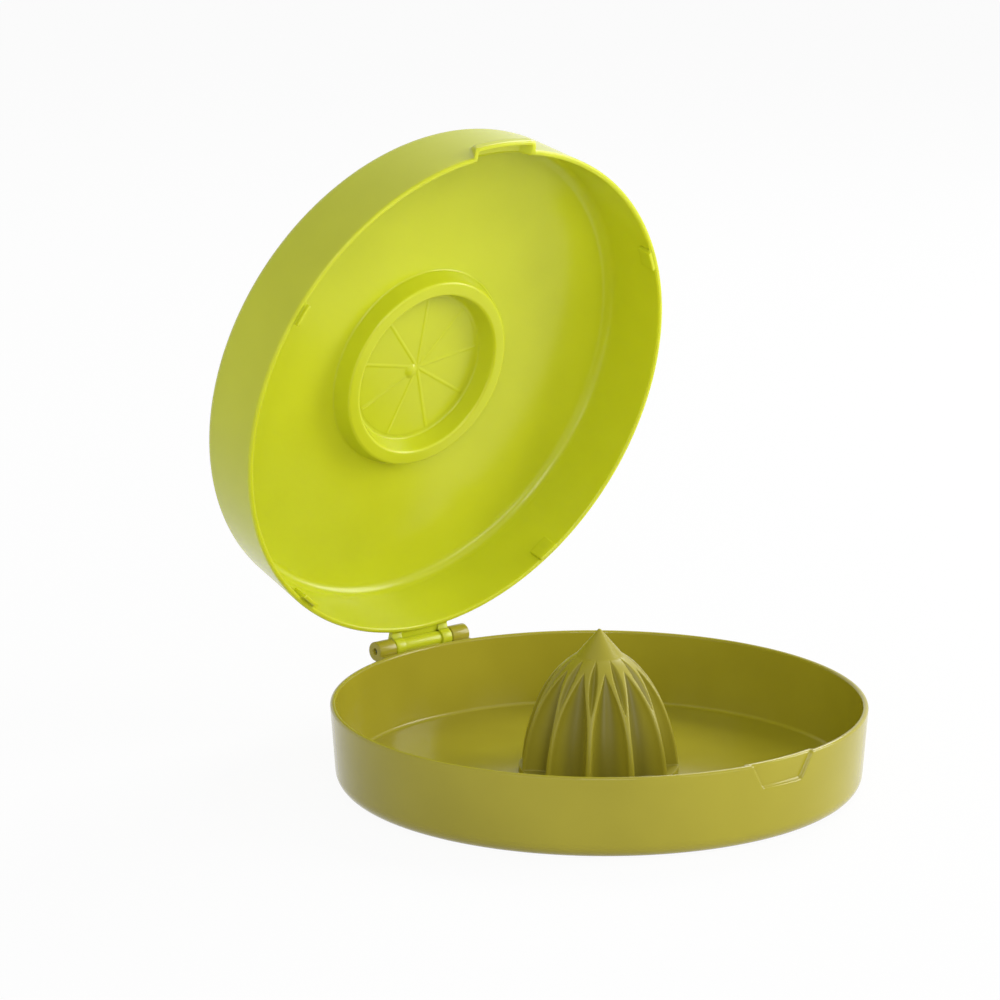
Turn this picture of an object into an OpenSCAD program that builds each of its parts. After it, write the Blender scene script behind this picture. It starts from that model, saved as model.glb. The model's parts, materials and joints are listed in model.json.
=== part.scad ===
// Citrus juicer with a glass rimmer: two round shells on one hinge.
// The tray holds the reamer, and the lid lies open beside it as a salt or sugar dish.
// The origin is the middle of the tray's underside, +Z is up, the finger lip faces -Y
// and the hinge axis runs along X behind the tray. The lid is drawn standing open.

/* [Shells] */
// Outer radius of the tray and of the lid at their rims
rim_r = 85; // [75:0.5:100]
// Height of the tray, from its underside to its rim
tray_h = 26.2; // [24:0.2:34]
// Depth of the lid, from its rim to its outer face
lid_h = 26; // [24:0.2:34]
// How far each side wall leans in from its rim to its foot
wall_lean = 1.9; // [1:0.1:5]
// Thickness of the side walls
wall = 1.8; // [1.4:0.1:2.4]
// Bevel along both edges of each rim
rim_bevel = 0.5; // [0.2:0.05:0.6]
// Thickness of the tray's floor and of the lid's face
floor_t = 2; // [1.6:0.1:3]
// Outer rounding round the tray's foot
foot_round = 5; // [3.5:0.1:8]
// Outer rounding round the lid's face
face_round = 3.2; // [3:0.1:8]
// Gap left between the two rims when the lid is shut
rim_gap = 0.3; // [0.2:0.05:0.6]
// How far the lid is drawn open, measured from shut
lid_open = 75.5; // [0:0.5:180]

/* [Hinge] */
// Distance from the outside of the rim to the hinge axis
hinge_out = 4.5; // [4.5:0.1:8]
// Width over both of the tray's knuckles
hinge_w = 38; // [32:0.5:60]
// Width of each of the tray's knuckles
knuckle_w = 7; // [5:0.5:9]
// Outer radius of the knuckles and of the lid's cheeks
knuckle_r = 3.2; // [2.8:0.1:4]
// Radius of the bar between the lid's cheeks
bar_r = 2.5; // [1.8:0.1:2.7]
// Width of each cheek of the lid's hinge
cheek_w = 4; // [3:0.5:6]
// Thickness of the web between the cheeks
web_t = 1.6; // [1.2:0.1:2]
// Side gap between a knuckle and the lid's hinge
side_gap = 0.3; // [0.2:0.05:0.6]
// How far the gusset under each knuckle runs down the tray's wall
gusset_h = 11; // [7:0.5:16]
// Radius of the hinge pin
pin_r = 1; // [0.8:0.05:1.4]
// Radial clearance of the pin in the lid's hinge
pin_play = 0.05; // [0.02:0.01:0.1]
// How far each end of the pin sits inside its knuckle
pin_inset = 1.2; // [0.4:0.1:2.5]

/* [Reamer] */
// Radius over the ribs at the reamer's foot
reamer_r = 25.4; // [23:0.1:30]
// Power of the height in the dome's section: 2 is an ellipse, less is more pointed
dome_power = 1.75; // [1.6:0.05:2]
// Number of flutes
flute_count = 11; // [8:1:12]
// Radius of each flute's cross-section
flute_r = 5.7; // [5:0.1:7]
// Depth of each flute at its foot
flute_depth = 4.9; // [3:0.1:5.5]
// Lean of the bottom of a flute at its foot, in degrees
flute_lean = 6.6; // [4:0.1:9]
// Radius of the arc that the bottom of a flute follows
flute_sweep = 110; // [90:1:160]
// Height of the plain collar under the flutes
collar_h = 3.4; // [3:0.1:8]
// Radius where the plain point rises from the dome
point_r = 7.5; // [5:0.1:9]
// Height of the tip above the crown of the dome
point_h = 6.3; // [4:0.1:8]
// Rounding of the tip
tip_r = 0.7; // [0.4:0.1:1.2]
// Wall left between a flute and the hollow inside
reamer_wall = 2.4; // [1.8:0.1:3]
// Space between the tip and the lid's pip when the lid is shut
tip_gap = 0.5; // [0.5:0.1:2]
// Height of the ring on the tray's floor that the reamer is pressed over
spigot_h = 4; // [3:0.1:5]
// Thickness of that ring
spigot_t = 2; // [1.5:0.1:3]

/* [Ring and slice in the lid] */
// Inner radius of the ring at its foot
ring_foot_in = 26; // [22:0.1:28]
// Outer radius of the ring at its foot
ring_foot_out = 34.5; // [32.5:0.1:42]
// Height of the ring above the lid's floor
ring_h = 6; // [4:0.1:9]
// Width of the ring's flat top
ring_top = 4; // [2.5:0.1:5]
// Bevel along both edges of the ring's top
ring_bevel = 0.6; // [0.3:0.1:1]
// Number of segments of the citrus slice
slice_count = 9; // [6:1:10]
// Width of the lines between the segments
slice_line_w = 0.8; // [0.5:0.1:1.5]
// Height of those lines
slice_line_h = 0.5; // [0.3:0.1:0.6]
// Gap between the end of a line and the ring's foot
slice_margin = 1.5; // [0.5:0.1:4]
// Radius of the pip in the middle of the slice
pip_r = 1.8; // [1:0.1:3]
// Height of the pip
pip_h = 0.6; // [0.6:0.1:1]

/* [Finger lip and recess] */
// Width of the lip and of the recess below it, at the rims
lip_w = 25; // [18:0.5:32]
// Width of the lip and of the recess at their far edges
lip_far_w = 16; // [10:0.5:17]
// How far the lip stands out from the lid's rim
lip_out = 3; // [2:0.1:4]
// Height of the lip along the lid's wall
lip_h = 8; // [6:0.5:12]
// Height of the upright outer face of the lip
lip_face_h = 3; // [2:0.1:4]
// Thickness of the lip's own wall
lip_t = 1.5; // [1.2:0.1:1.9]
// Depth of the pocket behind the lip
lip_pocket_h = 3.6; // [2:0.1:5]
// Height of the finger recess in the tray's wall
recess_h = 7.8; // [5:0.1:12]
// Depth of the finger recess
recess_d = 1.2; // [0.8:0.1:1.3]

/* [Locating tabs] */
// Length of each locating tab along the rim
tab_w = 7.4; // [4:0.1:12]
// Thickness of each locating tab
tab_t = 1.2; // [0.8:0.1:2]
// How far each tab stands out past the lid's rim
tab_out = 1; // [0.6:0.1:4]
// How far each tab reaches into the lid
tab_root = 5; // [4:0.1:8]
// Gap between a tab and the tray's wall when the lid is shut
tab_gap = 0.4; // [0.3:0.05:0.8]
// Angle of the two front tabs from the front
tab_front_angle = 62; // [30:1:80]
// Angle of the two back tabs from the back
tab_back_angle = 38; // [25:1:60]

/* [Hidden] */
$fn = 120;

tray_colour = [0.62, 0.58, 0.20];
reamer_colour = [0.58, 0.54, 0.20];
lid_colour = [0.74, 0.77, 0.16];
pin_colour = [0.62, 0.63, 0.65];

// A cut runs this far past the face that it opens
over = 2;

// Hinge axis, as the tray and the shut lid share it
axis_y = rim_r + hinge_out;
axis_z = tray_h + rim_gap / 2;
turn_w = hinge_w - 2 * knuckle_w - 2 * side_gap;
pin_len = hinge_w - 2 * pin_inset;

// Reamer heights, above the tray's floor
reamer_h = tray_h + rim_gap + lid_h - 2 * floor_t - pip_h - tip_gap;
dome_h = reamer_h - point_h;
collar_r = dome_r(collar_h);
root_r = collar_r - flute_depth;
sweep_x = root_r - flute_sweep * cos(flute_lean);
sweep_z = collar_h - flute_sweep * sin(flute_lean);
spigot_r = root_r - reamer_wall;
dome_steps = 20;

// Height of the shoulder of the hollow inside the reamer, as a share of the dome
shoulder_share = 0.72;
// Turn of the arc that cuts a flute, enough to run out over the dome
flute_turn = 30;

// Radius of the dome at a height, and height of the dome at a radius
function dome_r(z) = reamer_r * sqrt(1 - pow(z / dome_h, dome_power));
function dome_z(r) = dome_h * pow(1 - pow(r / reamer_r, 2), 1 / dome_power);
// Radius of the bottom of a flute at a height above the floor
function root_at(z) = sweep_x + sqrt(pow(flute_sweep, 2) - pow(z - sweep_z, 2));
// Lean of a shell's wall per unit of height
function lean(h) = wall_lean / h;

// Half section of a shell's solid that stands on z = base, with its wall moved in by inset.
// The foot corner is a true arc, and the top runs on to height top.
module shell_half(h, base, round, inset, top) {
    slope = lean(h);
    tilt = atan(slope);
    foot_x = rim_r - wall_lean - inset + base * slope;
    arc_x = foot_x + round * slope - round / cos(tilt);
    arc_z = base + round;
    top_x = rim_r - inset - (h - top) * slope;
    polygon([
        [0, base],
        [arc_x, base],
        [arc_x + round * cos(tilt), arc_z - round * sin(tilt)],
        [top_x, top],
        [0, top]
    ]);
    translate([arc_x, arc_z]) circle(round);
}

// Section of a shell: floor, wall and a rim bevelled on both edges
module shell_section(h, round) {
    out_x = rim_r - rim_bevel;
    in_x = rim_r - wall + rim_bevel;
    difference() {
        shell_half(h, 0, round, 0, h);
        shell_half(h, floor_t, round - wall, wall, h + over);
        polygon([[out_x - over, h + over], [out_x + over, h - over], [out_x + 3 * over, h + over]]);
        polygon([[in_x + over, h + over], [in_x - over, h - over], [in_x - 3 * over, h + over]]);
    }
}

// Full turn of a half section about Z, with its seam to the side, clear of lip and hinge
module turned() {
    rotate([0, 0, 90]) rotate_extrude() children();
}

// Round shell that stands on its foot like a dish
module shell(h, round) {
    turned() shell_section(h, round);
}

// Space inside the middle of a shell's wall, which trims what is fused to the outside
module wall_middle(h, round) {
    turned() shell_half(h, floor_t / 2, round - wall / 2, wall / 2, h + 2 * over);
}

// Outline in Y and Z, extruded along X about x
module along_x(x, w) {
    translate([x - w / 2, 0, 0]) rotate([90, 0, 90]) linear_extrude(w) children();
}

// Cylinder on the hinge axis, in a frame where the axis lies at height z
module on_axis(z, r, w, x = 0) {
    translate([x - w / 2, axis_y, z]) rotate([0, 90, 0]) cylinder(r = r, h = w);
}

// One of the tray's knuckles with the gusset that carries it
module tray_knuckle(side) {
    x = side * (hinge_w - knuckle_w) / 2;
    difference() {
        union() {
            on_axis(axis_z, knuckle_r, knuckle_w, x);
            along_x(x, knuckle_w) polygon([
                [rim_r - hinge_w / 2, tray_h - wall / 2],
                [axis_y, tray_h - wall / 2],
                [axis_y, axis_z - knuckle_r / 2],
                [rim_r - wall / 2, axis_z - gusset_h],
                [rim_r - hinge_w / 2, axis_z - gusset_h]
            ]);
        }
        wall_middle(tray_h, foot_round);
        on_axis(axis_z, pin_r, knuckle_w + 2 * over, x);
    }
}

// Upright tapered block at the front: w wide at z_rim, far_w wide at z_far, and run on
// past both along its own sides
module front_block(w, far_w, z_rim, z_far) {
    grow = (w - far_w) * over / (z_rim - z_far);
    rotate([90, 0, 0]) linear_extrude(rim_r + lip_out + over) polygon([
        [-(w + grow) / 2, z_rim + over],
        [(w + grow) / 2, z_rim + over],
        [(far_w - grow) / 2, z_far - over],
        [-(far_w - grow) / 2, z_far - over]
    ]);
}

// Half section of the wall behind the finger recess, which stands in by the recess's depth
module recess_back() {
    slope = lean(tray_h);
    in_x = rim_r - wall - recess_d;
    drop = recess_h + wall;
    polygon([
        [rim_r - wall / 2, tray_h],
        [in_x + rim_bevel, tray_h],
        [in_x - rim_bevel * slope, tray_h - rim_bevel],
        [in_x - drop * slope, tray_h - drop],
        [rim_r - wall / 2 - (drop + recess_d) * slope, tray_h - drop - recess_d]
    ]);
}

// Half section of what the finger recess takes away from the outside of the wall
module recess_front() {
    slope = lean(tray_h);
    out_x = rim_r - recess_d;
    polygon([
        [out_x - rim_bevel, tray_h + over],
        [out_x - rim_bevel, tray_h],
        [out_x - rim_bevel * slope, tray_h - rim_bevel],
        [out_x - recess_h * slope, tray_h - recess_h],
        [rim_r + over, tray_h - recess_h],
        [rim_r + over, tray_h + over]
    ]);
}

// Ring on the tray's floor that the reamer is pressed over
module spigot() {
    translate([0, 0, floor_t / 2]) difference() {
        cylinder(r = spigot_r, h = spigot_h + floor_t / 2);
        translate([0, 0, floor_t / 2]) cylinder(r = spigot_r - spigot_t, h = spigot_h + over);
    }
}

// Tray that catches the juice, with its finger recess, knuckles and spigot ring
module juice_tray() {
    far_z = tray_h - recess_h;
    back_w = lip_w + 2 * wall;
    back_far_w = lip_far_w + 2 * wall;
    color(tray_colour) {
        difference() {
            union() {
                shell(tray_h, foot_round);
                intersection() {
                    turned() recess_back();
                    front_block(back_w, back_far_w, tray_h, far_z - 2 * wall);
                }
            }
            intersection() {
                turned() recess_front();
                front_block(lip_w, lip_far_w, tray_h, far_z);
            }
        }
        for (side = [-1, 1]) tray_knuckle(side);
        spigot();
    }
}

// Half section of the reamer over its ribs: dome, plain point and rounded tip
module reamer_half() {
    lean_in = (reamer_h - dome_z(point_r)) / point_r;
    point_angle = atan(lean_in);
    tip_z = reamer_h - tip_r;
    start = asin(dome_z(point_r) / dome_h);
    polygon(concat(
        [[0, 0]],
        [for (i = [0:dome_steps]) let (z = dome_h * sin(start * i / dome_steps)) [dome_r(z), z]],
        [[tip_r * sin(point_angle), tip_z + tip_r * cos(point_angle)]],
        [[0, tip_z + tip_r * cos(point_angle)]]
    ));
    intersection() {
        translate([0, tip_z]) circle(tip_r);
        translate([0, tip_z]) square([tip_r + over, tip_r + over]);
    }
}

// Half section of the hollow inside the reamer, which fits the spigot ring at its foot
module reamer_hollow() {
    shoulder_z = dome_h * shoulder_share;
    crown_z = dome_z(point_r) - reamer_wall;
    polygon([
        [0, -over],
        [spigot_r, -over],
        [spigot_r, spigot_h],
        [root_at(shoulder_z) - reamer_wall, shoulder_z],
        [0, crown_z]
    ]);
}

// Cutter for one flute: a round bar bent along the flute's sweep
module flute() {
    translate([sweep_x, 0, sweep_z]) rotate([90, 0, 0])
        rotate_extrude(angle = flute_turn) translate([flute_sweep + flute_r, 0]) circle(flute_r);
}

// Reamer, pressed over the spigot ring on the tray's floor
module reamer() {
    color(reamer_colour) translate([0, 0, floor_t]) difference() {
        turned() reamer_half();
        turned() reamer_hollow();
        for (i = [0:flute_count - 1]) rotate([0, 0, 360 / flute_count * i - 90])
            intersection() {
                flute();
                translate([0, -reamer_r, collar_h]) cube([2 * reamer_r, 2 * reamer_r, reamer_h]);
            }
    }
}

// Hinge of the lid, in the lid's own frame with its face down: two cheeks that turn on the pin,
// a bar between them and a web that closes the pocket behind the bar
module lid_hinge() {
    z = lid_h + rim_gap / 2;
    under = z - knuckle_r + web_t / 4;
    difference() {
        union() {
            on_axis(z, bar_r, turn_w - cheek_w);
            for (side = [-1, 1]) {
                x = side * (turn_w - cheek_w) / 2;
                on_axis(z, knuckle_r, cheek_w, x);
                along_x(x, cheek_w) polygon([
                    [rim_r - hinge_w / 2, lid_h - wall / 2],
                    [rim_r, lid_h - wall / 2],
                    [axis_y, z + knuckle_r / 2],
                    [axis_y, under],
                    [rim_r - hinge_w / 2, under]
                ]);
            }
            along_x(0, turn_w - cheek_w) polygon([
                [rim_r - hinge_w / 2, under + web_t],
                [axis_y, under + web_t],
                [axis_y, under],
                [rim_r - hinge_w / 2, under]
            ]);
        }
        wall_middle(lid_h, face_round);
        on_axis(z, pin_r + pin_play, turn_w + 2 * over);
    }
}

// Finger lip at the front of the lid, before its pocket is cut
module lid_lip() {
    face_r = rim_r + lip_out;
    foot_r = rim_r - wall / 2 - lip_h * lean(lid_h);
    top_z = lid_h - rim_bevel / 2;
    intersection() {
        front_block(lip_w, lip_far_w, lid_h, lid_h - lip_h);
        turned() polygon([
            [foot_r, lid_h - lip_h],
            [face_r, lid_h - lip_face_h],
            [face_r, top_z],
            [rim_r - wall / 2, top_z]
        ]);
    }
}

// Pocket behind the finger lip, open at the rim and to the inside
module lip_pocket() {
    pocket_w = lip_w - 2 * lip_t;
    pocket_far_w = pocket_w - (lip_w - lip_far_w) * lip_pocket_h / lip_h;
    pocket_z = lid_h - lip_pocket_h;
    intersection() {
        front_block(pocket_w, pocket_far_w, lid_h, pocket_z);
        turned() polygon([
            [rim_r - 2 * wall - over, pocket_z],
            [rim_r + lip_out - lip_t, pocket_z],
            [rim_r + lip_out - lip_t, lid_h + over],
            [rim_r - 2 * wall - over, lid_h + over]
        ]);
    }
}

// Locating tab at an angle round the lid's rim
module locating_tab(angle) {
    out_r = rim_r - wall - tab_out * lean(tray_h) - tab_gap;
    span = tab_w / out_r * 180 / PI;
    rotate([0, 0, angle - span / 2]) rotate_extrude(angle = span) polygon([
        [out_r - tab_t, lid_h - tab_root],
        [rim_r - wall / 2 - tab_root * lean(lid_h), lid_h - tab_root],
        [rim_r - wall / 2 - wall * lean(lid_h), lid_h - wall],
        [out_r, lid_h - wall],
        [out_r, lid_h + tab_out],
        [out_r - tab_t, lid_h + tab_out]
    ]);
}

// Raised ring on the lid's floor
module slice_ring() {
    top_z = floor_t + ring_h;
    middle = (ring_foot_in + ring_foot_out) / 2;
    turned() polygon([
        [ring_foot_in, floor_t / 2],
        [ring_foot_out, floor_t / 2],
        [ring_foot_out, floor_t],
        [middle + ring_top / 2, top_z - ring_bevel],
        [middle + ring_top / 2 - ring_bevel, top_z],
        [middle - ring_top / 2 + ring_bevel, top_z],
        [middle - ring_top / 2, top_z - ring_bevel],
        [ring_foot_in, floor_t]
    ]);
}

// Lines and pip of the citrus slice inside the ring
module citrus_slice() {
    line_end = ring_foot_in - slice_margin;
    for (i = [0:slice_count - 1]) rotate([0, 0, 360 / slice_count * i - 90])
        translate([0, -slice_line_w / 2, floor_t / 2])
            cube([line_end, slice_line_w, floor_t / 2 + slice_line_h]);
    translate([0, 0, floor_t / 2]) cylinder(r = pip_r, h = floor_t / 2 + pip_h);
}

// Lid in its own frame, face down like a dish, with its rim at height lid_h
module lid_dish() {
    difference() {
        union() {
            shell(lid_h, face_round);
            lid_lip();
        }
        lip_pocket();
    }
    lid_hinge();
    slice_ring();
    citrus_slice();
    for (side = [-1, 1]) {
        locating_tab(-90 + side * tab_front_angle);
        locating_tab(90 + side * tab_back_angle);
    }
}

// Rimmer lid, turned over onto the tray and swung open about the hinge axis
module rimmer_lid() {
    color(lid_colour) translate([0, axis_y, axis_z]) rotate([-lid_open, 0, 0])
        translate([0, -axis_y, rim_gap / 2 + lid_h]) mirror([0, 0, 1]) lid_dish();
}

// Hinge pin, fixed in the tray's knuckles and running in the lid's hinge
module hinge_pin() {
    color(pin_colour) on_axis(axis_z, pin_r, pin_len);
}

juice_tray();
reamer();
rimmer_lid();
hinge_pin();
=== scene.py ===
"""Looks of a hinged citrus juicer whose lid is a glass rimmer, on its packed frame.

Every piece is a surface worked out in metres in the frame's axes: +Z up, the finger lip to -Y and
the hinge to +Y. The lid's pieces are first worked out in a dish frame, where the lid lies on its
face with its rim up, and are then placed on the open lid.
"""

import json
import math

import bpy
import numpy as np
from bpy.props import FloatProperty, FloatVectorProperty, IntProperty, PointerProperty
from bpy.types import Operator, Panel, PropertyGroup
from mathutils import Matrix, Vector


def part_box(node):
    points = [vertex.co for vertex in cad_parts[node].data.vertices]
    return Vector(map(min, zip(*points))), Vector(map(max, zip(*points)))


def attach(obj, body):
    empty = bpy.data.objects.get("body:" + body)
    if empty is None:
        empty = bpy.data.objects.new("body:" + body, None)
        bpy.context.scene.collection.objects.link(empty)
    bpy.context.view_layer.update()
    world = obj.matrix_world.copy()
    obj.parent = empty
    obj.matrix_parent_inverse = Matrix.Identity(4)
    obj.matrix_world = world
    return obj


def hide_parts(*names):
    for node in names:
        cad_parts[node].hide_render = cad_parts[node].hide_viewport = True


bl_info = {
    "name": "Citrus Juicer With Glass Rimmer",
    "version": (1, 0, 0),
    "blender": (4, 5, 0),
    "location": "View3D > Sidebar > Juicer",
    "description": "Builds the shells, reamer, hinge, finishes and stage of a hinged citrus juicer",
    "category": "Add Mesh",
}

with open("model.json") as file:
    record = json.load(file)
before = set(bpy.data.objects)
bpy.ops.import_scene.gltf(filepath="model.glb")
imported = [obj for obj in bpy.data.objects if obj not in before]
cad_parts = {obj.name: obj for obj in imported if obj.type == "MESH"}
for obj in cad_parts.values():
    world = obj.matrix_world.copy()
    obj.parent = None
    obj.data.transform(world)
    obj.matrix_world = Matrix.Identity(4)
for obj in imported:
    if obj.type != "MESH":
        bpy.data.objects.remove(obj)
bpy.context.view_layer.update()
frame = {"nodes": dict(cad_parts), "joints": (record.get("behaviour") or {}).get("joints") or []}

MM = 0.001
PHOTO_SIZE = 1000
SENSOR_WIDTH = 36.0

# Angle round Z of the front, where the finger lip is
FRONT = -np.pi / 2
# Least width to divide by, where a width runs out to nothing
LEAST = 0.01 * MM

# Columns of the reamer's grid over half a flute and over half a rib, and the least share of the
# spacing that a flute's columns keep
FLUTE_COLUMNS = 15
RIB_COLUMNS = 13
LEAST_SHARE = 0.12
# Power of the height by which a flute narrows, and height over which its cut runs out
FLUTE_TAPER = 2.9
RUN_OUT = 2 * MM

# Material, roughness, haze and glow of each plastic, by the name of its colour
PLASTICS = {
    "tray": ("olive_tray_moulding", 0.15, 0.06, 0),
    "reamer": ("olive_reamer_moulding", 0.34, 0.08, 0),
    "lid": ("lime_lid_moulding", 0.2, 0.06, 0.5),
}

# Place, width and height of each softbox in metres, and the point that all of them face
SOFTBOXES = {
    "high": ((0.9, 0.4, 0.9), 0.6, 0.6),
    "right": ((0.8, -0.5, 0.42), 0.45, 0.6),
    "camera": ((-0.75, -0.95, 0.7), 0.5, 0.5),
    "left": ((-1.1, -0.5, 0.2), 0.6, 0.3),
    "front": ((0.15, -1.2, 0.25), 0.6, 0.3),
}
SOFTBOX_TARGET = (0, 0.02, 0.06)

# The hinge axis and the opening of the lid at rest, from the frame's one joint
HINGE = frame["joints"][0]
AXIS_Y = HINGE["pos_m"][1]
AXIS_Z = HINGE["pos_m"][2]
LID_OPEN = math.radians(-HINGE["range_deg"][0])

REAMER_LOW, REAMER_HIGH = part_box("reamer")
PIN_LOW, PIN_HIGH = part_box("hinge_pin")
PIN_RADIUS = (PIN_HIGH.z - PIN_LOW.z) / 2


def number(name, description, value, **kind):
    """A number property."""
    return FloatProperty(name=name, description=description, default=value, **kind)


def length(name, description, millimetres):
    """A length property whose default is given in millimetres."""
    return number(name, description, millimetres * MM, unit="LENGTH", precision=5)


def turn(name, description, degrees):
    """An angle property whose default is given in degrees."""
    return number(name, description, math.radians(degrees), subtype="ANGLE")


def fraction(name, description, value):
    """A property for a share from 0 to 1."""
    return number(name, description, value, subtype="FACTOR", min=0, max=1)


def watts(name, description, value):
    """A property for the power of a lamp."""
    return number(name, description, value, unit="POWER")


def linear(value):
    """Scene-linear share of one sRGB channel given from 0 to 255."""
    share = value / 255
    return share / 12.92 if share <= 0.04045 else ((share + 0.055) / 1.055) ** 2.4


def colour(name, description, *channels):
    """A colour property whose default is given as sRGB from 0 to 255."""
    default = [linear(channel) for channel in channels]
    return FloatVectorProperty(
        name=name, description=description, default=default, subtype="COLOR", min=0, max=1
    )


class ShellSizes(PropertyGroup):
    """Sizes that the tray and the lid share."""

    rim_radius: length("Rim radius", "Outer radius of both shells at the rim", 85)
    tray_height: length("Tray height", "Underside of the tray to its rim", 26.2)
    lid_depth: length("Lid depth", "Rim of the lid to its outer face", 26)
    lean: length("Lean", "How far a wall leans in from rim to foot", 1.9)
    wall: length("Wall", "Thickness of the side walls", 1.8)
    floor: length("Floor", "Thickness of the tray's floor and the lid's face", 2)
    foot_round: length("Foot rounding", "Outer rounding of the tray's foot", 5)
    face_round: length("Face rounding", "Outer rounding of the lid's face", 3.23)
    tray_corner: length("Tray corner", "Fillet between the tray's floor and its wall", 1.2)
    lid_corner: length("Lid corner", "Fillet between the lid's floor and its wall", 4)
    rim_round: length("Rim rounding", "Rounding of both edges of a rim", 0.8)
    rim_gap: length("Rim gap", "Gap between the rims when the lid is shut", 0.3)


class LipSizes(PropertyGroup):
    """Sizes of the finger lip on the lid and of the finger recess in the tray."""

    width: length("Width", "Width of lip and recess at the rims", 25)
    far_width: length("Far width", "Width of lip and recess at their far edges", 16)
    out: length("Lip reach", "How far the lip stands out from the lid's rim", 2.98)
    height: length("Lip height", "Height of the lip along the lid's wall", 8)
    face: length("Lip face", "Height of the lip's upright outer face", 3)
    wall: length("Lip wall", "Thickness of the lip's own wall", 1.5)
    pocket: length("Pocket depth", "Depth of the pocket behind the lip", 3.6)
    recess_height: length("Recess height", "Height of the recess in the tray's wall", 7.8)
    recess_depth: length("Recess depth", "Depth of the recess in the tray's wall", 1.2)
    edge: length("Edge", "Width over which an edge of lip or recess turns", 0.7)


class HingeSizes(PropertyGroup):
    """Sizes of the tray's knuckles and of the lid's hinge."""

    width: length("Width", "Width over both of the tray's knuckles", 38)
    knuckle_width: length("Knuckle width", "Width of one of the tray's knuckles", 7)
    knuckle_radius: length("Knuckle radius", "Outer radius of knuckles and cheeks", 3.2)
    bar_radius: length("Bar radius", "Radius of the bar between the lid's cheeks", 2.5)
    cheek_width: length("Cheek width", "Width of one of the lid's cheeks", 4)
    web: length("Web", "Thickness of the web between the cheeks", 1.6)
    side_gap: length("Side gap", "Gap between a knuckle and the lid's hinge", 0.3)
    gusset: length("Gusset", "How far a knuckle's gusset runs down the tray's wall", 11)
    bore_play: length("Bore play", "Clearance of the pin in the lid's hinge", 0.05)
    edge_round: length("Edge rounding", "Rounding of the hinge's edges", 0.4)


class ReamerSizes(PropertyGroup):
    """Sizes of the fluted reamer, with heights above the tray's floor."""

    dome_power: number(
        "Dome power", "Power of the height in the dome's section, 2 for an ellipse", 1.75, min=1, max=3
    )
    point_rise: length("Point rise", "Height of the tip above the crown of the dome", 6.3)
    point_radius: length("Point radius", "Radius where the point leaves the dome", 7.5)
    tip_round: length("Tip rounding", "Rounding of the tip", 0.7)
    collar: length("Collar", "Height of the plain collar under the flutes", 3)
    flute_count: IntProperty(name="Flutes", description="Number of flutes", default=11, min=3)
    flute_steep: turn("Flute steepness", "Slope of a flute's sides where they meet a rib", 84)
    flute_share: fraction("Flute share", "Share of the ribs' spacing that a flute's foot takes", 0.85)
    flute_wide: length("Flute foot", "Height up to which a flute keeps its width", 12)
    flute_top: length("Flute top", "Height at which a flute runs out", 35.8)
    rib_round: length("Rib rounding", "Largest radius of a rib's rounded crest", 1)
    fork_width: length("Fork width", "Half the width of the groove that forks a rib", 1.4)
    fork_depth: length("Fork depth", "Depth of the groove that forks a rib", 2)
    fork_low: length("Fork foot", "Height at which the fork of a rib starts", 23.5)
    fork_middle: length("Fork middle", "Height at which the fork is widest", 33)
    fork_high: length("Fork top", "Height at which the fork of a rib ends", 39)


class RingSizes(PropertyGroup):
    """Sizes of the raised ring in the lid and of the citrus slice inside it."""

    foot_in: length("Inner foot", "Inner radius of the ring at its foot", 25.7)
    foot_out: length("Outer foot", "Outer radius of the ring at its foot", 34.2)
    height: length("Height", "Height of the ring above the lid's floor", 6)
    top: length("Top", "Width over the ring's flat top and its edges", 4.4)
    top_round: length("Top rounding", "Rounding of the ring's upper edges", 1.1)
    foot_fillet: length("Foot fillet", "Fillet at the ring's foot", 0.8)
    line_count: IntProperty(name="Lines", description="Lines of the slice", default=9, min=3)
    line_width: length("Line width", "Width of a line of the slice", 0.9)
    line_height: length("Line height", "Height of a line of the slice", 0.16)
    line_margin: length("Line margin", "Gap between a line's end and the ring's foot", 1.5)
    pip_radius: length("Pip radius", "Radius of the pip near the middle", 2.5)
    pip_height: length("Pip height", "Height of the pip", 0.8)
    pip_x: length("Pip across", "Place of the pip across the lid", -2.3)
    pip_y: length("Pip along", "Place of the pip towards the hinge", 1.1)


class TabSizes(PropertyGroup):
    """Sizes of the locating tabs inside the lid's rim."""

    width: length("Width", "Length of a tab along the rim", 7.4)
    thickness: length("Thickness", "Thickness of a tab", 1.2)
    out: length("Reach", "How far a tab stands out past the rim", 1)
    root: length("Root", "How far a tab reaches into the lid", 5)
    gap: length("Gap", "Gap between a tab and the tray's wall when shut", 0.4)
    edge_round: length("Edge rounding", "Rounding of a tab's edges", 0.3)
    front_angle: turn("Front angle", "Angle of the front tabs from the front", 62)
    back_angle: turn("Back angle", "Angle of the back tabs from the back", 38)


class FinishColours(PropertyGroup):
    """Colours of the plastics, of the painted shade in the reamer's flutes, and of the pin."""

    tray: colour("Tray", "Olive lime of the tray", 172, 162, 46)
    tray_deep: colour("Tray, deep", "Deeper tone that drifts through the tray", 165, 155, 42)
    reamer: colour("Reamer", "Olive lime of the reamer", 163, 154, 46)
    reamer_deep: colour("Reamer, deep", "Deeper tone that drifts through the reamer", 157, 148, 43)
    # Painted shade: the reamer's colour in its flutes and forks goes darker to stand in for the shade
    # that their depth throws
    reamer_painted_shade: colour("Reamer, groove", "Dull olive in the reamer's flutes", 134, 126, 42)
    lid: colour("Lid", "Bright lime of the lid", 204, 210, 42)
    lid_deep: colour("Lid, deep", "Deeper tone that drifts through the lid", 199, 205, 39)
    steel: colour("Pin", "Drawn steel of the hinge pin", 150, 152, 155)
    steel_dark: colour("Pin, dark", "Dark drawing lines of the pin", 104, 106, 110)


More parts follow.
